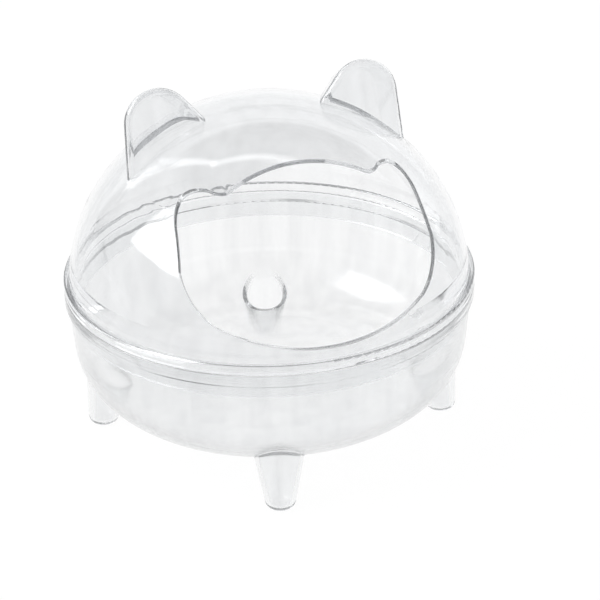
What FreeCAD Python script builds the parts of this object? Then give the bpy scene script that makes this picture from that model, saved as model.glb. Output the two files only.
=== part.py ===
import FreeCAD, Part
import math
import os
import Sketcher

# Clear bathing pot for a small pet: a round bowl on four hollow feet and a lift-off domed lid
# with two hollow ears and a bear-head door. Millimetres, +Z up, the feet stand on Z = 0,
# the door looks along -Y and the pot's axis is the Z axis.

doc = FreeCAD.newDocument("bathing_pot")
sheet = doc.addObject("Spreadsheet::Sheet", "dims")

DIMENSIONS = [
    ("rim_r", 46.0, "outer radius of both rims"),
    ("floor_z", 9.3, "underside of the bowl above the feet's tips"),
    ("corner_r", 14.6, "round between the bowl's floor and its wall"),
    ("wall_lean", 5.2, "lean of the bowl's wall, degrees"),
    ("bowl_wall", 1.0, "thickness of the bowl"),
    ("band_z", 33.3, "lower edge of the bowl's rim band"),
    ("band_step", 0.7, "how far the rim band stands out from the wall"),
    ("band_round", 0.6, "round on the lower edge of the rim band"),
    ("seam_z", 36.3, "top of the bowl's rim"),
    ("seat_gap", 0.05, "air left between the two rims"),
    ("seam_round", 0.3, "round on the edges of both rims where they meet"),
    ("lid_rim_top_z", 38.6, "top of the lid's rim"),
    ("rim_round", 0.5, "round on the lid's rim"),
    ("skirt_r", 43.8, "outside of the lid's skirt"),
    ("skirt_inner_r", 43.1, "inside of the lid's skirt"),
    ("skirt_z", 30.4, "lower edge of the lid's skirt"),
    ("crown_z", 77.8, "top of the dome"),
    ("crown_r", 46.6, "radius of the dome's crown"),
    ("shoulder_r", 41.5, "radius of the dome's shoulder"),
    ("shoulder_x", 3.5, "centre of the shoulder's round, from the axis"),
    ("shoulder_z", 34.9, "centre of the shoulder's round, above the ground"),
    ("lid_wall", 1.1, "thickness of the dome"),
    ("ear_x", 23.3, "centre of the ear's round top, from the middle"),
    ("ear_z", 76.5, "centre of the ear's round top, above the ground"),
    ("ear_r", 8.1, "radius of the ear's round top"),
    ("ear_outer_lean", 3.0, "lean of the ear's outer side, degrees"),
    ("ear_inner_lean", 39.4, "lean of the ear's inner side, degrees"),
    ("ear_lean_back", 14.6, "lean of the ear's flat front towards the back, degrees"),
    ("ear_face_y", 1.45, "flat front of the ears, ahead of the middle at ear_face_z"),
    ("ear_face_z", 70.0, "height at which ear_face_y holds"),
    ("ear_depth", 11.6, "depth of the ears, front to back"),
    ("ear_draft", 15.0, "taper of the ears towards the back, degrees"),
    ("ear_back_round", 4.0, "round around the ear's back"),
    ("ear_front_round", 1.4, "round around the ear's flat front"),
    ("ear_wall", 1.0, "thickness of the ears"),
    ("ear_root_z", 60.4, "where the ear's forms end inside the dome"),
    ("overrun", 2.0, "how far a hollow's form runs past the rim it opens"),
    ("foot_r", 3.1, "radius of a foot's tip"),
    ("foot_lean", 12.0, "lean of a foot's axis, degrees"),
    ("foot_hollow_lean", 14.5, "lean of the axis of a foot's hollow, degrees"),
    ("foot_taper", 11.3, "half of a foot's taper, degrees"),
    ("foot_mouth_round", 0.6, "round around the mouth of a foot's hollow"),
    ("foot_root_z", 18.4, "length of a foot's cone above the ground"),
    ("foot_below", 2.0, "length of a foot's cone below the ground, cut off"),
    ("foot_outer_r", 42.5, "upright outer side of the feet, from the axis"),
    ("foot_round", 2.1, "round around a foot's tip"),
    ("foot_hollow_round", 0.6, "round inside a foot's tip"),
    ("foot_wall", 1.2, "thickness of the feet"),
    ("foot_turn", -15.2, "turn of the feet against the door, degrees"),
    ("door_front_y", 50.0, "start of the door's cut, ahead of the middle"),
    ("door_back_y", 8.0, "end of the door's cut, ahead of the middle"),
    ("door_top_z", 72.3, "top of the door, on its middle"),
    ("door_brow_x", 14.2, "end of the head's top arc, sideways"),
    ("door_brow_z", 69.0, "end of the head's top arc, height"),
    ("door_brow_r", 32.2, "radius of the head's top arc"),
    ("door_notch_r", 5.5, "round between head and ear"),
    ("door_ear_x", 18.6, "start of the door's ear, sideways"),
    ("door_ear_z", 68.4, "start of the door's ear, height"),
    ("door_ear_r", 8.0, "radius of the door's ear"),
    ("door_temple_x", 26.4, "end of the door's ear, sideways"),
    ("door_temple_z", 62.0, "end of the door's ear, height"),
    ("door_cheek_x", 27.6, "widest place of the door, sideways"),
    ("door_cheek_z", 54.9, "widest place of the door, height"),
    ("door_cheek_r", 11.0, "radius of the cheeks"),
    ("door_chin_x", 22.6, "end of the cheeks, sideways"),
    ("door_chin_z", 45.6, "end of the cheeks, height"),
    ("door_chin_r", 57.0, "radius of the chin"),
    ("door_edge_round", 0.3, "round on the door's two edges"),
]


class Dim:
    """A length that knows its value and its formula in the spreadsheet's names."""

    def __init__(self, value, text):
        self.value = float(value)
        self.text = text

    def __add__(self, other):
        other = dim(other)
        return Dim(self.value + other.value, "(%s + %s)" % (self.text, other.text))

    def __sub__(self, other):
        other = dim(other)
        return Dim(self.value - other.value, "(%s - %s)" % (self.text, other.text))

    def __mul__(self, other):
        other = dim(other)
        return Dim(self.value * other.value, "(%s * %s)" % (self.text, other.text))

    def __truediv__(self, other):
        other = dim(other)
        return Dim(self.value / other.value, "(%s / %s)" % (self.text, other.text))

    def __neg__(self):
        return Dim(-self.value, "(0 - %s)" % self.text)


def dim(number):
    if isinstance(number, Dim):
        return number
    return Dim(number, repr(float(number)))


def root(square):
    return Dim(math.sqrt(square.value), "sqrt(%s)" % square.text)


def sine(angle):
    return Dim(math.sin(math.radians(angle.value)), "sin(%s * 1deg)" % angle.text)


def cosine(angle):
    return Dim(math.cos(math.radians(angle.value)), "cos(%s * 1deg)" % angle.text)


ZERO = dim(0.0)
TOUCH = 0.01

D = {}
for line, (alias, value, note) in enumerate(DIMENSIONS, start=1):
    sheet.set("A%d" % line, note)
    sheet.set("B%d" % line, str(value))
    sheet.setAlias("B%d" % line, alias)
    D[alias] = Dim(value, "dims." + alias)
doc.recompute()


def origin_plane(body, role):
    for feature in body.Origin.OriginFeatures:
        if feature.Role == role:
            return feature
    raise RuntimeError("no plane " + role)


def new_sketch(body, name, role, offset, lean_back=ZERO):
    sketch = body.newObject("Sketcher::SketchObject", name)
    sketch.AttachmentSupport = [(origin_plane(body, role), "")]
    sketch.MapMode = "FlatFace"
    sketch.AttachmentOffset = FreeCAD.Placement(
        FreeCAD.Vector(0, 0, offset.value),
        FreeCAD.Rotation(FreeCAD.Vector(1, 0, 0), -lean_back.value))
    sketch.setExpression("AttachmentOffset.Base.z", offset.text)
    return sketch


def draw_outline(sketch, steps):
    """Closed outline. Each step is a start point and, for a round, its radius and side.

    A step is (x, y) for a straight line or (x, y, radius, side) for a round to the next
    point; side +1 turns to the left, -1 to the right.
    """
    count = len(steps)
    for index, step in enumerate(steps):
        following = steps[(index + 1) % count]
        start = FreeCAD.Vector(step[0].value, step[1].value, 0)
        end = FreeCAD.Vector(following[0].value, following[1].value, 0)
        if len(step) == 2:
            sketch.addGeometry(Part.LineSegment(start, end), False)
        else:
            half = (end - start) * 0.5
            side = step[3]
            reach = math.sqrt(step[2].value ** 2 - half.Length ** 2)
            normal = FreeCAD.Vector(-half.y, half.x, 0).normalize() * side
            centre = start + half + normal * reach
            middle = centre - normal * step[2].value
            sketch.addGeometry(Part.Arc(start, middle, end), False)
    for index, step in enumerate(steps):
        previous = (index - 1) % count
        turns_right = len(step) == 4 and step[3] < 0
        came_right = len(steps[previous]) == 4 and steps[previous][3] < 0
        start_point = 2 if turns_right else 1
        end_point = 1 if came_right else 2
        sketch.addConstraint(
            Sketcher.Constraint("Coincident", previous, end_point, index, start_point))
        for kind, length in (("DistanceX", step[0]), ("DistanceY", step[1])):
            number = sketch.addConstraint(
                Sketcher.Constraint(kind, -1, 1, index, start_point, length.value))
            sketch.setExpression("Constraints[%d]" % number, length.text)
        if len(step) == 4:
            number = sketch.addConstraint(
                Sketcher.Constraint("Radius", index, step[2].value))
            sketch.setExpression("Constraints[%d]" % number, step[2].text)
    return sketch


def new_body(name):
    body = doc.addObject("PartDesign::Body", name)
    body.Label = name
    return body


def turned_form(name, steps):
    """Solid of revolution about Z from an outline drawn in radius and height."""
    body = new_body(name)
    sketch = draw_outline(new_sketch(body, name + "_outline", "XZ_Plane", ZERO), steps)
    turned = body.newObject("PartDesign::Revolution", name + "_turned")
    turned.Profile = sketch
    turned.ReferenceAxis = (sketch, ["V_Axis"])
    turned.Angle = 360.0
    body.Tip = turned
    doc.recompute()
    return body


def edges_on(shape, test):
    """Names of the edges whose ends and middle all pass the test."""
    names = []
    for index, edge in enumerate(shape.Edges, start=1):
        spots = [vertex.Point for vertex in edge.Vertexes]
        spots.append(edge.valueAt((edge.FirstParameter + edge.LastParameter) / 2))
        if all(test(spot) for spot in spots):
            names.append("Edge%d" % index)
    return names


def filleted(name, source, radius, test):
    """Round the edges of a shape whose ends and middle all pass the test."""
    fillet = doc.addObject("Part::Fillet", name)
    fillet.Base = source
    fillet.Edges = [
        (int(edge[len("Edge"):]), radius.value, radius.value)
        for edge in edges_on(source.Shape, test)]
    doc.recompute()
    return fillet


def rounded(body, source, name, edges, radius):
    fillet = body.newObject("PartDesign::Fillet", name)
    fillet.Base = (source, edges)
    fillet.Radius = radius.value
    fillet.setExpression("Radius", radius.text)
    body.Tip = fillet
    doc.recompute()
    return fillet


# --- bowl ---------------------------------------------------------------------------

# The wall is a straight line that leans outwards and runs into the corner's round. Both
# are set by the wall's place at the lower edge of the rim band.
WALL_TOP_R = D["rim_r"] - D["band_step"]
CORNER_Z = D["floor_z"] + D["corner_r"]
LEAN_SIN = sine(D["wall_lean"])
LEAN_COS = cosine(D["wall_lean"])
WALL_REACH = WALL_TOP_R * LEAN_COS - (D["band_z"] - CORNER_Z) * LEAN_SIN
CORNER_X = (WALL_REACH - D["corner_r"]) / LEAN_COS


def corner_end(radius):
    """Where the corner's round of this radius runs into the leaning wall."""
    return CORNER_X + radius * LEAN_COS, CORNER_Z - radius * LEAN_SIN


def wall_at(z, inset):
    """Radius of the leaning wall at height z, moved inwards by inset."""
    return CORNER_X + (D["corner_r"] - inset + (z - CORNER_Z) * LEAN_SIN) / LEAN_COS


outer_end_x, outer_end_z = corner_end(D["corner_r"])
bowl_form = turned_form("bowl_form", [
    (ZERO, D["floor_z"]),
    (CORNER_X, D["floor_z"], D["corner_r"], 1),
    (outer_end_x, outer_end_z),
    (WALL_TOP_R, D["band_z"]),
    (D["rim_r"] - D["band_round"], D["band_z"], D["band_round"], 1),
    (D["rim_r"], D["band_z"] + D["band_round"]),
    (D["rim_r"], D["seam_z"] - D["seam_round"], D["seam_round"], 1),
    (D["rim_r"] - D["seam_round"], D["seam_z"]),
    (ZERO, D["seam_z"]),
])

inner_r = D["corner_r"] - D["bowl_wall"]
inner_end_x, inner_end_z = corner_end(inner_r)
ABOVE_Z = D["seam_z"] + D["overrun"]
bowl_hollow = turned_form("bowl_hollow", [
    (ZERO, D["floor_z"] + D["bowl_wall"]),
    (CORNER_X, D["floor_z"] + D["bowl_wall"], inner_r, 1),
    (inner_end_x, inner_end_z),
    (wall_at(ABOVE_Z, D["bowl_wall"]), ABOVE_Z),
    (ZERO, ABOVE_Z),
])


def tilted_cone(name, tip_r, outer_r, lean, angle):
    """Cone of one foot, its outer side outer_r from the pot's axis at the ground."""
    spread = sine(D["foot_taper"]) / cosine(D["foot_taper"])
    cone = doc.addObject("Part::Cone", name + "_cone")
    for prop, length in (
            ("Radius1", tip_r - D["foot_below"] * spread),
            ("Radius2", tip_r + D["foot_root_z"] * spread),
            ("Height", D["foot_below"] + D["foot_root_z"])):
        setattr(cone, prop, length.value)
        cone.setExpression(prop, length.text)
    start_r = outer_r - tip_r * cosine(lean) + D["foot_below"] * sine(lean)
    start_z = -D["foot_below"] * cosine(lean)
    stand = FreeCAD.Placement(
        FreeCAD.Vector(0, -start_r.value, start_z.value),
        FreeCAD.Rotation(FreeCAD.Vector(1, 0, 0), -lean.value))
    turn = FreeCAD.Placement(
        FreeCAD.Vector(0, 0, 0), FreeCAD.Rotation(FreeCAD.Vector(0, 0, 1), angle))
    cone.Placement = turn.multiply(stand)
    return cone


def foot_form(name, cone, low_z, round_r):
    """Foot cone cut level at low_z, with a round around its tip."""
    ground = doc.addObject("Part::Box", name + "_ground")
    ground.Length = 4 * D["rim_r"].value
    ground.Width = ground.Length
    ground.Height = 2 * D["foot_root_z"].value
    ground.Placement.Base = FreeCAD.Vector(
        -ground.Length.Value / 2, -ground.Width.Value / 2, low_z.value - ground.Height.Value)
    level = doc.addObject("Part::Cut", name + "_level")
    level.Base = cone
    level.Tool = ground
    doc.recompute()
    return filleted(name, level, round_r, lambda spot: abs(spot.z - low_z.value) < TOUCH)


foot_solids = []
foot_hollows = []
hollow_tip_r = D["foot_r"] - D["foot_wall"] / cosine(D["foot_taper"])
hollow_outer_r = D["foot_outer_r"] - D["foot_wall"]
for quarter in range(4):
    turn = D["foot_turn"].value + 90.0 * quarter
    name = "foot_solid_%d" % quarter
    foot_solids.append(foot_form(
        name, tilted_cone(name, D["foot_r"], D["foot_outer_r"], D["foot_lean"], turn),
        ZERO, D["foot_round"]))
    name = "foot_hollow_%d" % quarter
    foot_hollows.append(foot_form(
        name, tilted_cone(name, hollow_tip_r, hollow_outer_r, D["foot_hollow_lean"], turn),
        D["foot_wall"], D["foot_hollow_round"]))


def joined(name, shapes):
    fuse = doc.addObject("Part::MultiFuse", name)
    fuse.Shapes = shapes
    fuse.Refine = True
    doc.recompute()
    return fuse


def cut_from(name, base, tool):
    cut = doc.addObject("Part::Cut", name)
    cut.Base = base
    cut.Tool = tool
    cut.Refine = True
    cut.Label = name
    doc.recompute()
    return cut


bowl_inside = joined("bowl_inside", [bowl_hollow] + foot_hollows)


def at_mouth(spot):
    """True on the edges where a foot's hollow opens into the bowl."""
    floor_top = D["floor_z"] + D["bowl_wall"]
    return floor_top.value + TOUCH < spot.z < D["foot_root_z"].value


bowl = cut_from(
    "footed_bowl",
    joined("bowl_outside", [bowl_form] + foot_solids),
    filleted("bowl_inside_rounded", bowl_inside, D["foot_mouth_round"], at_mouth))

# --- lid ----------------------------------------------------------------------------

RISE = D["crown_z"] - D["crown_r"]


def shoulder_join(crown_r, shoulder_r):
    """Point where the crown's round runs into the shoulder's round."""
    across = D["shoulder_x"]
    up = D["shoulder_z"] - RISE
    span = root(across * across + up * up)
    return across * crown_r / span, RISE + up * crown_r / span


def shoulder_at(z, radius):
    """Radius of the shoulder's round at height z."""
    up = z - D["shoulder_z"]
    return D["shoulder_x"] + root(radius * radius - up * up)


SEAT_Z = D["seam_z"] + D["seat_gap"]
crown_foot_x, crown_foot_z = shoulder_join(D["crown_r"], D["shoulder_r"])
lid_form = turned_form("lid_form", [
    (ZERO, D["skirt_z"]),
    (D["skirt_r"], D["skirt_z"]),
    (D["skirt_r"], SEAT_Z),
    (D["rim_r"] - D["seam_round"], SEAT_Z, D["seam_round"], 1),
    (D["rim_r"], SEAT_Z + D["seam_round"]),
    (D["rim_r"], D["lid_rim_top_z"] - D["rim_round"], D["rim_round"], 1),
    (D["rim_r"] - D["rim_round"], D["lid_rim_top_z"]),
    (shoulder_at(D["lid_rim_top_z"], D["shoulder_r"]), D["lid_rim_top_z"], D["shoulder_r"], 1),
    (crown_foot_x, crown_foot_z, D["crown_r"], 1),
    (ZERO, D["crown_z"]),
])

crown_inner = D["crown_r"] - D["lid_wall"]
shoulder_inner = D["shoulder_r"] - D["lid_wall"]
join_x, join_z = shoulder_join(crown_inner, shoulder_inner)
skirt_across = D["skirt_inner_r"] - D["shoulder_x"]
SKIRT_TOP_Z = D["shoulder_z"] + root(
    shoulder_inner * shoulder_inner - skirt_across * skirt_across)
BELOW_Z = D["skirt_z"] - D["overrun"]
lid_hollow = turned_form("lid_hollow", [
    (ZERO, BELOW_Z),
    (D["skirt_inner_r"], BELOW_Z),
    (D["skirt_inner_r"], SKIRT_TOP_Z, shoulder_inner, 1),
    (join_x, join_z, crown_inner, 1),
    (ZERO, D["crown_z"] - D["lid_wall"]),
])


def pushed_form(name, steps, start_y, depth, draft, lean_back=ZERO):
    """Outline drawn across and up, pushed backwards from Y = -start_y, square to its plane."""
    body = new_body(name)
    sketch = new_sketch(body, name + "_outline", "XZ_Plane", start_y, lean_back)
    draw_outline(sketch, steps)
    pad = body.newObject("PartDesign::Pad", name + "_pushed")
    pad.Profile = sketch
    pad.Reversed = True
    pad.Length = depth.value
    pad.setExpression("Length", depth.text)
    pad.TaperAngle = -draft.value
    pad.setExpression("TaperAngle", "-1 * " + draft.text)
    body.Tip = pad
    doc.recompute()
    return body, pad


def ear_form(name, inset):
    """Ear outline: a round top with two straight sides that lean apart, moved in by inset.

    It is drawn on the ear's front plane, which leans back, so heights are divided by the
    cosine of that lean.
    """
    lean_back = D["ear_lean_back"]
    upright = cosine(lean_back)
    radius = D["ear_r"] - inset
    centre_z = D["ear_z"] / upright
    root_z = D["ear_root_z"] / upright
    outer_x = D["ear_x"] + radius * cosine(D["ear_outer_lean"])
    outer_z = centre_z + radius * sine(D["ear_outer_lean"])
    inner_x = D["ear_x"] - radius * cosine(D["ear_inner_lean"])
    inner_z = centre_z + radius * sine(D["ear_inner_lean"])
    outer_tan = sine(D["ear_outer_lean"]) / cosine(D["ear_outer_lean"])
    inner_tan = sine(D["ear_inner_lean"]) / cosine(D["ear_inner_lean"])
    root_outer_x = outer_x + (outer_z - root_z) * outer_tan
    root_inner_x = inner_x - (inner_z - root_z) * inner_tan
    front = D["ear_face_y"] + (D["ear_face_z"] * sine(lean_back) - inset) / upright
    depth = D["ear_depth"] - inset * 2
    body, pad = pushed_form(name, [
        (root_inner_x, root_z),
        (root_outer_x, root_z),
        (outer_x, outer_z, radius, 1),
        (inner_x, inner_z),
    ], front, depth, D["ear_draft"], lean_back)
    last = pad
    for part, behind in (("_back", depth.value), ("_front", 0.0)):
        outline = edges_on(last.Shape, lambda spot: abs(
            (spot.y + front.value) * upright.value - spot.z * sine(lean_back).value
            - behind) < TOUCH)
        sides = [edge for edge in outline if last.Shape.getElement(edge).BoundBox.ZLength > TOUCH]
        last = rounded(body, last, name + part, sides, D["ear" + part + "_round"] - inset)
    return body


def mirrored(name, source):
    mirror = doc.addObject("Part::Mirroring", name)
    mirror.Source = source
    mirror.Normal = FreeCAD.Vector(1, 0, 0)
    mirror.Base = FreeCAD.Vector(0, 0, 0)
    doc.recompute()
    return mirror


right_ear = ear_form("right_ear_form", ZERO)
left_ear = mirrored("left_ear_form", right_ear)
right_ear_hollow = ear_form("right_ear_hollow", D["ear_wall"])
left_ear_hollow = mirrored("left_ear_hollow", right_ear_hollow)

# Bear-head door, drawn anticlockwise from the left end of the chin's arc.
door, door_pad = pushed_form("door_form", [
    (-D["door_chin_x"], D["door_chin_z"], D["door_chin_r"], 1),
    (D["door_chin_x"], D["door_chin_z"], D["door_cheek_r"], 1),
    (D["door_cheek_x"], D["door_cheek_z"]),
    (D["door_temple_x"], D["door_temple_z"], D["door_ear_r"], 1),
    (D["door_ear_x"], D["door_ear_z"], D["door_notch_r"], -1),
    (D["door_brow_x"], D["door_brow_z"], D["door_brow_r"], 1),
    (-D["door_brow_x"], D["door_brow_z"], D["door_notch_r"], -1),
    (-D["door_ear_x"], D["door_ear_z"], D["door_ear_r"], 1),
    (-D["door_temple_x"], D["door_temple_z"]),
    (-D["door_cheek_x"], D["door_cheek_z"], D["door_cheek_r"], 1),
], D["door_front_y"], D["door_front_y"] - D["door_back_y"], ZERO)

lid_shell = cut_from(
    "lid_shell",
    joined("lid_outside", [lid_form, right_ear, left_ear]),
    joined("lid_inside", [lid_hollow, right_ear_hollow, left_ear_hollow, door]))


def off_dome(spot):
    """How far a spot lies outside the dome's outer face."""
    across = math.hypot(spot.x, spot.y)
    if spot.z > crown_foot_z.value:
        return math.hypot(across, spot.z - RISE.value) - D["crown_r"].value
    shoulder = math.hypot(across - D["shoulder_x"].value, spot.z - D["shoulder_z"].value)
    return shoulder - D["shoulder_r"].value


def at_door(spot):
    """True on the door's edges along the dome's outer and inner face and the skirt's inside."""
    out = off_dome(spot)
    on_dome = abs(out) < TOUCH or abs(out + D["lid_wall"].value) < TOUCH
    in_skirt = abs(math.hypot(spot.x, spot.y) - D["skirt_inner_r"].value) < TOUCH
    in_front = spot.y < -D["door_back_y"].value and spot.z > D["lid_rim_top_z"].value
    return in_front and (on_dome or in_skirt)


lid = filleted("eared_lid", lid_shell, D["door_edge_round"], at_door)
lid.Label = "eared_lid"

# --- checks and files ---------------------------------------------------------------

doc.recompute()
for thing in doc.Objects:
    if "Invalid" in thing.State or "Error" in thing.State:
        raise RuntimeError("%s did not build: %s" % (thing.Name, thing.State))
    shape = getattr(thing, "Shape", None)
    if shape is not None and not shape.isNull() and not shape.isValid():
        raise RuntimeError("%s has a bad shape" % thing.Name)

os.makedirs("parts", exist_ok=True)
for node in (bowl, lid):
    if node.Shape.isNull() or len(node.Shape.Solids) != 1:
        raise RuntimeError("%s should be one solid, has %d" % (node.Label, len(node.Shape.Solids)))
    box = node.Shape.BoundBox
    print("%s: volume %.1f, X %.2f %.2f, Y %.2f %.2f, Z %.2f %.2f" % (
        node.Label, node.Shape.Volume,
        box.XMin, box.XMax, box.YMin, box.YMax, box.ZMin, box.ZMax))
    node.Shape.exportStep("parts/%s.step" % node.Label)
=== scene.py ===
"""Looks of the clear bathing pot: two clear mouldings on a pale floor in a plain studio.

All lengths are metres in the part's frame: +Z up, the door looks along -Y, and the feet
stand on Z = 0.
"""

import math

import bpy
from mathutils import Matrix, Vector

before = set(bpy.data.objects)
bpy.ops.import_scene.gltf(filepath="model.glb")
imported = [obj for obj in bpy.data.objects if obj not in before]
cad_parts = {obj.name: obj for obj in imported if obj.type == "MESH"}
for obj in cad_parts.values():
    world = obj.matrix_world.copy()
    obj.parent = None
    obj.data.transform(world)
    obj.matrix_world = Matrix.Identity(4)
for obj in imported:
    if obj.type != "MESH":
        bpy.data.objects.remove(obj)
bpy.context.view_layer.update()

# --- camera -------------------------------------------------------------------------

CAMERA_TURN = math.radians(-17.0)  # about +Z, away from straight in front of the door
CAMERA_RISE = math.radians(27.22)
CAMERA_ROLL = math.radians(-1.48)
CAMERA_DISTANCE = 0.500
CAMERA_AIM = Vector((0.0, 0.0, 0.0364))
CAMERA_NEAR = 0.01
CAMERA_FAR = 20.0
SENSOR = 36.0
LENS = 133.56
SHIFT = (0.0516, -0.0427)

# --- plastic ------------------------------------------------------------------------

PLASTIC_IOR = 1.57
LIGHT_BOUNCES = 44
EDGE_GLOW = 0.006  # keeps the edges, which light leaves after many bounces, from going black
GLOW_COLOUR = (0.96, 0.98, 1.0)
DEPTH_DENSITY = 8.0
DEPTH_COLOUR = (0.0, 0.02, 0.05)

# Noise behind the plastic's unevenness: streaks and flow are drawn out along Z.
STREAK_SCALE = 260.0
STREAK_STRETCH = (1.0, 1.0, 0.06)
STREAK_RANGE = (0.35, 0.62)
FLOW_SCALE = 90.0
FLOW_STRETCH = (1.0, 1.0, 0.12)
FLOW_DEPTH = 0.0004
POLISH_SCALE = 60.0
POLISH_SPREAD = (0.4, 1.6)
NO_STRETCH = (1.0, 1.0, 1.0)

# Bowl's profile, which tells the inside of its wall from the outside: centre of the
# rounded corner, middle radius of the wall there, and the lean of the wall above it.
CORNER_ACROSS = 0.0298
CORNER_HEIGHT = 0.0239
MIDDLE_ROUND = 0.01415
WALL_SLOPE = 0.091

SCUFF_ROUGHNESS = 0.19
SCUFF_FADE = (0.018, 0.024)  # height over which the scuffing ends

# Painted shade: grey line along the lower edge of the rim band, on the outside, all round the
# bowl.
BAND_HEIGHT = 0.03362
BAND_INSIDE = 0.0448
BAND_HALF_WIDTH = 0.00032
BAND_DARKNESS = (0.12, 0.125, 0.13)
BAND_WANDER_SCALE = 40.0
BAND_WANDER_RANGE = (0.30, 0.50)
BAND_SEED = 5.7


def node_of(tree, kind, **inputs):
    """New node of a tree with its inputs set by name."""
    made = tree.nodes.new(kind)
    for name, value in inputs.items():
        made.inputs[name.replace("_", " ")].default_value = value
    return made


def calc(tree, operation, first, second=0.0):
    """One math node; each input is a number or another node's output."""
    made = tree.nodes.new("ShaderNodeMath")
    made.operation = operation
    for value, socket in zip((first, second), made.inputs):
        if isinstance(value, float):
            socket.default_value = value
        else:
            tree.links.new(value, socket)
    return made.outputs["Value"]


def smooth_step(tree, value, low, high):
    """0 below low, 1 above high, smooth between them."""
    made = node_of(tree, "ShaderNodeMapRange", From_Min=low, From_Max=high)
    made.interpolation_type = "SMOOTHSTEP"
    tree.links.new(value, made.inputs["Value"])
    return made.outputs["Result"]


def rest_of(tree, share):
    """1 less a share."""
    return calc(tree, "SUBTRACT", 1.0, share)


def length_of(tree, first, second):
    """Length of the long side of a right triangle."""
    return calc(
        tree, "SQRT", calc(
            tree, "ADD",
            calc(tree, "POWER", first, 2.0),
            calc(tree, "POWER", second, 2.0)))


def pot_place(tree):
    """Distance from the pot's axis and height of the shaded point."""
    place = tree.nodes.new("ShaderNodeTexCoord")
    split = tree.nodes.new("ShaderNodeSeparateXYZ")
    tree.links.new(place.outputs["Object"], split.inputs["Vector"])
    return length_of(tree, split.outputs["X"], split.outputs["Y"]), split.outputs["Z"]


def noise(tree, stretch, seed, **inputs):
    """Noise in object coordinates stretched along X, Y and Z and moved by seed."""
    place = tree.nodes.new("ShaderNodeTexCoord")
    mapping = node_of(
        tree, "ShaderNodeMapping", Scale=stretch, Location=(seed, seed, seed))
    tree.links.new(place.outputs["Object"], mapping.inputs["Vector"])
    made = node_of(tree, "ShaderNodeTexNoise", **inputs)
    tree.links.new(mapping.outputs["Vector"], made.inputs["Vector"])
    return made.outputs["Fac"]


def clear_plastic(name, haze, clear, roughness, bump, seed):
    """Clear moulded plastic: faint upright flow streaks, an uneven polish, darker in depth."""
    material = bpy.data.materials.new(name)
    material.use_nodes = True
    tree = material.node_tree
    shader = tree.nodes["Principled BSDF"]
    shader.inputs["Transmission Weight"].default_value = 1.0
    shader.inputs["IOR"].default_value = PLASTIC_IOR
    shader.inputs["Emission Color"].default_value = (*GLOW_COLOUR, 1.0)
    shader.inputs["Emission Strength"].default_value = EDGE_GLOW

    streaks = noise(
        tree, STREAK_STRETCH, seed, Scale=STREAK_SCALE, Detail=3.0, Roughness=0.55)
    ramp = tree.nodes.new("ShaderNodeValToRGB")
    for stop, position, colour in zip(
            ramp.color_ramp.elements, STREAK_RANGE, (haze, clear)):
        stop.position = position
        stop.color = (*colour, 1.0)
    tree.links.new(streaks, ramp.inputs["Fac"])
    tree.links.new(ramp.outputs["Color"], shader.inputs["Base Color"])

    flow = noise(tree, FLOW_STRETCH, seed, Scale=FLOW_SCALE, Detail=2.0, Roughness=0.5)
    waves = node_of(tree, "ShaderNodeBump", Strength=bump, Distance=FLOW_DEPTH)
    tree.links.new(flow, waves.inputs["Height"])
    tree.links.new(waves.outputs["Normal"], shader.inputs["Normal"])

    polish = noise(tree, NO_STRETCH, seed, Scale=POLISH_SCALE, Detail=3.0, Roughness=0.6)
    low, high = POLISH_SPREAD
    spread = node_of(
        tree, "ShaderNodeMapRange", To_Min=roughness * low, To_Max=roughness * high)
    tree.links.new(polish, spread.inputs["Value"])
    tree.links.new(spread.outputs["Result"], shader.inputs["Roughness"])

    depth = node_of(
        tree, "ShaderNodeVolumeAbsorption",
        Color=(*DEPTH_COLOUR, 1.0), Density=DEPTH_DENSITY)
    tree.links.new(depth.outputs["Volume"], tree.nodes["Material Output"].inputs["Volume"])
    return material


def scuff_inside(material):
    """Rougher polish low on the bowl's inside, all round; guessed from the photograph."""
    tree = material.node_tree
    across, height = pot_place(tree)
    above = calc(tree, "MAXIMUM", calc(tree, "SUBTRACT", height, CORNER_HEIGHT), 0.0)
    below = calc(tree, "MAXIMUM", calc(tree, "SUBTRACT", CORNER_HEIGHT, height), 0.0)
    upright = calc(tree, "SUBTRACT", across, calc(tree, "MULTIPLY", above, WALL_SLOPE))
    out = calc(tree, "MAXIMUM", calc(tree, "SUBTRACT", upright, CORNER_ACROSS), 0.0)
    inside = calc(tree, "LESS_THAN", length_of(tree, out, below), MIDDLE_ROUND)
    low = rest_of(tree, smooth_step(tree, height, *SCUFF_FADE))
    scuffed = calc(tree, "MULTIPLY", inside, low)
    roughness = tree.nodes["Principled BSDF"].inputs["Roughness"]
    dull = calc(
        tree, "MAXIMUM", roughness.links[0].from_socket,
        calc(tree, "MULTIPLY", scuffed, SCUFF_ROUGHNESS))
    tree.links.new(dull, roughness)


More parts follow.
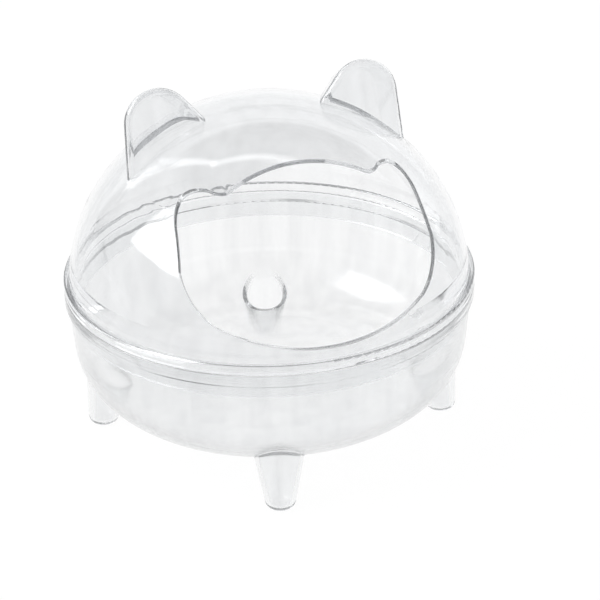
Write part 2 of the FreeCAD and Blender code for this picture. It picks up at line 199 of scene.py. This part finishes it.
def shade_under_band(material):
    """Painted shade: thin grey line along the rim band's lower edge, a little uneven, all
    round.
    """
    tree = material.node_tree
    across, height = pot_place(tree)
    off = calc(tree, "ABSOLUTE", calc(tree, "SUBTRACT", height, BAND_HEIGHT))
    line = rest_of(tree, smooth_step(tree, off, BAND_HALF_WIDTH * 0.5, BAND_HALF_WIDTH))
    wander = noise(tree, NO_STRETCH, BAND_SEED, Scale=BAND_WANDER_SCALE, Detail=1.0)
    for share in (
            calc(tree, "GREATER_THAN", across, BAND_INSIDE),
            smooth_step(tree, wander, *BAND_WANDER_RANGE)):
        line = calc(tree, "MULTIPLY", line, share)

    base = tree.nodes["Principled BSDF"].inputs["Base Color"]
    mix = tree.nodes.new("ShaderNodeMix")
    mix.data_type = "RGBA"
    before, after = (socket for socket in mix.inputs if socket.type == "RGBA")
    tree.links.new(base.links[0].from_socket, before)
    after.default_value = (*BAND_DARKNESS, 1.0)
    tree.links.new(line, mix.inputs["Factor"])
    mixed = next(socket for socket in mix.outputs if socket.type == "RGBA")
    tree.links.new(mixed, base)


def dress(node, material):
    """Give a CAD node its material."""
    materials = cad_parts[node].data.materials
    materials.clear()
    materials.append(material)


bowl_plastic = clear_plastic(
    "bowl_clear_plastic", haze=(0.895, 0.90, 0.905), clear=(0.955, 0.96, 0.962),
    roughness=0.10, bump=0.05, seed=3.1)
scuff_inside(bowl_plastic)
shade_under_band(bowl_plastic)
dress("footed_bowl", bowl_plastic)

lid_plastic = clear_plastic(
    "lid_clear_plastic", haze=(0.89, 0.895, 0.90), clear=(0.93, 0.935, 0.94),
    roughness=0.015, bump=0.04, seed=8.4)
dress("eared_lid", lid_plastic)

# --- floor and light ----------------------------------------------------------------

FLOOR_HALF = 3.0
FLOOR_DROP = 0.0002  # keeps the floor clear of the feet
FLOOR_GLOW = 0.98
FLOOR_COLOUR = (0.04, 0.04, 0.04)
FLOOR_ROUGHNESS = 0.9

# Light panels of the studio, as seen from the pot with the camera in front (-Y):
# facing, side, up, side range, up range, soft edge, strength.
PANELS = (
    # bright backdrop
    ((0.0, 1.0, 0.0), (1.0, 0.0, 0.0), (0.13, 0.0, 1.0),
     (-1.0, 1.6), (-0.2, 0.93), 0.05, 0.80),
    # softbox on the left
    ((-1.0, 0.0, 0.0), (0.0, 1.0, 0.0), (0.0, 0.15, 1.0),
     (-0.8, 0.17), (0.37, 1.6), 0.015, 3.0),
    # pale walls on the left and right
    ((-1.0, 0.0, 0.0), (0.0, 1.0, 0.0), (0.0, 0.0, 1.0),
     (-2.5, 0.9), (-0.5, 1.2), 0.25, 0.60),
    ((1.0, 0.0, 0.0), (0.0, 1.0, 0.0), (0.0, 0.0, 1.0),
     (-2.5, 0.9), (-0.5, 1.2), 0.25, 0.60),
    # narrow upright strip at the back left
    ((-0.707, 0.707, 0.0), (0.707, 0.707, 0.0), (0.0, 0.0, 1.0),
     (-0.08, 0.02), (0.3, 1.8), 0.02, 2.0),
    # narrow strip on the ceiling
    ((0.0, 0.0, 1.0), (1.0, 0.0, 0.0), (0.1, 1.0, 0.0),
     (-0.45, 0.3), (0.30, 0.37), 0.02, 2.0),
)
SKY_GREY = 0.25
SKY_COLOUR = (0.99, 0.995, 1.0)


def make_floor():
    """Pale tabletop lit from below, which leaves no shadow, as in the photograph."""
    mesh = bpy.data.meshes.new("floor")
    corners = [
        (x * FLOOR_HALF, y * FLOOR_HALF, 0.0)
        for x, y in ((-1, -1), (1, -1), (1, 1), (-1, 1))]
    mesh.from_pydata(corners, [], [(0, 1, 2, 3)])
    floor = bpy.data.objects.new("floor", mesh)
    floor.location.z = -FLOOR_DROP
    bpy.context.scene.collection.objects.link(floor)
    material = bpy.data.materials.new("pale_floor")
    material.use_nodes = True
    shader = material.node_tree.nodes["Principled BSDF"]
    shader.inputs["Base Color"].default_value = (*FLOOR_COLOUR, 1.0)
    shader.inputs["Roughness"].default_value = FLOOR_ROUGHNESS
    shader.inputs["Specular IOR Level"].default_value = 0.0
    shader.inputs["Emission Color"].default_value = (1.0, 1.0, 1.0, 1.0)
    shader.inputs["Emission Strength"].default_value = FLOOR_GLOW
    mesh.materials.append(material)


def direction_dot(tree, direction, vector):
    """How far the direction looked in lies along a fixed vector."""
    product = tree.nodes.new("ShaderNodeVectorMath")
    product.operation = "DOT_PRODUCT"
    product.inputs[1].default_value = vector
    tree.links.new(direction, product.inputs[0])
    return product.outputs["Value"]


def panel(tree, direction, facing, side, up, side_range, up_range, edge, strength):
    """Brightness of a flat light panel, side_range by up_range at distance 1 along facing."""
    facing = Vector(facing)
    brightness = strength
    for across, (low, high) in ((Vector(side), side_range), (Vector(up), up_range)):
        for border in (across - facing * low, facing * high - across):
            inside = smooth_step(tree, direction_dot(tree, direction, border), -edge, edge)
            brightness = calc(tree, "MULTIPLY", inside, brightness)
    return brightness


def make_sky():
    """Studio around the pot: dim walls and ceiling with the light panels on them."""
    world = bpy.data.worlds.new("studio")
    bpy.context.scene.world = world
    world.use_nodes = True
    tree = world.node_tree
    place = tree.nodes.new("ShaderNodeTexCoord")
    turn = node_of(tree, "ShaderNodeMapping", Rotation=(0.0, 0.0, -CAMERA_TURN))
    tree.links.new(place.outputs["Generated"], turn.inputs["Vector"])
    total = SKY_GREY
    for spec in PANELS:
        total = calc(tree, "ADD", panel(tree, turn.outputs["Vector"], *spec), total)
    background = tree.nodes["Background"]
    tree.links.new(total, background.inputs["Strength"])
    background.inputs["Color"].default_value = (*SKY_COLOUR, 1.0)


def make_camera():
    """Camera at the photograph's viewing angle."""
    back = Vector((
        math.sin(CAMERA_TURN) * math.cos(CAMERA_RISE),
        -math.cos(CAMERA_TURN) * math.cos(CAMERA_RISE),
        math.sin(CAMERA_RISE)))
    data = bpy.data.cameras.new("camera")
    data.sensor_width = SENSOR
    data.lens = LENS
    data.shift_x, data.shift_y = SHIFT
    data.clip_start = CAMERA_NEAR
    data.clip_end = CAMERA_FAR
    camera = bpy.data.objects.new("camera", data)
    place = Matrix.Translation(CAMERA_AIM + back * CAMERA_DISTANCE)
    facing = (-back).to_track_quat("-Z", "Y").to_matrix().to_4x4()
    roll = Matrix.Rotation(CAMERA_ROLL, 4, "Z")
    camera.matrix_world = place @ facing @ roll
    bpy.context.scene.collection.objects.link(camera)
    bpy.context.scene.camera = camera


make_floor()
make_sky()
make_camera()
bpy.context.scene.view_settings.view_transform = "Standard"
cycles = bpy.context.scene.cycles
cycles.max_bounces = LIGHT_BOUNCES
cycles.transmission_bounces = LIGHT_BOUNCES
cycles.glossy_bounces = LIGHT_BOUNCES
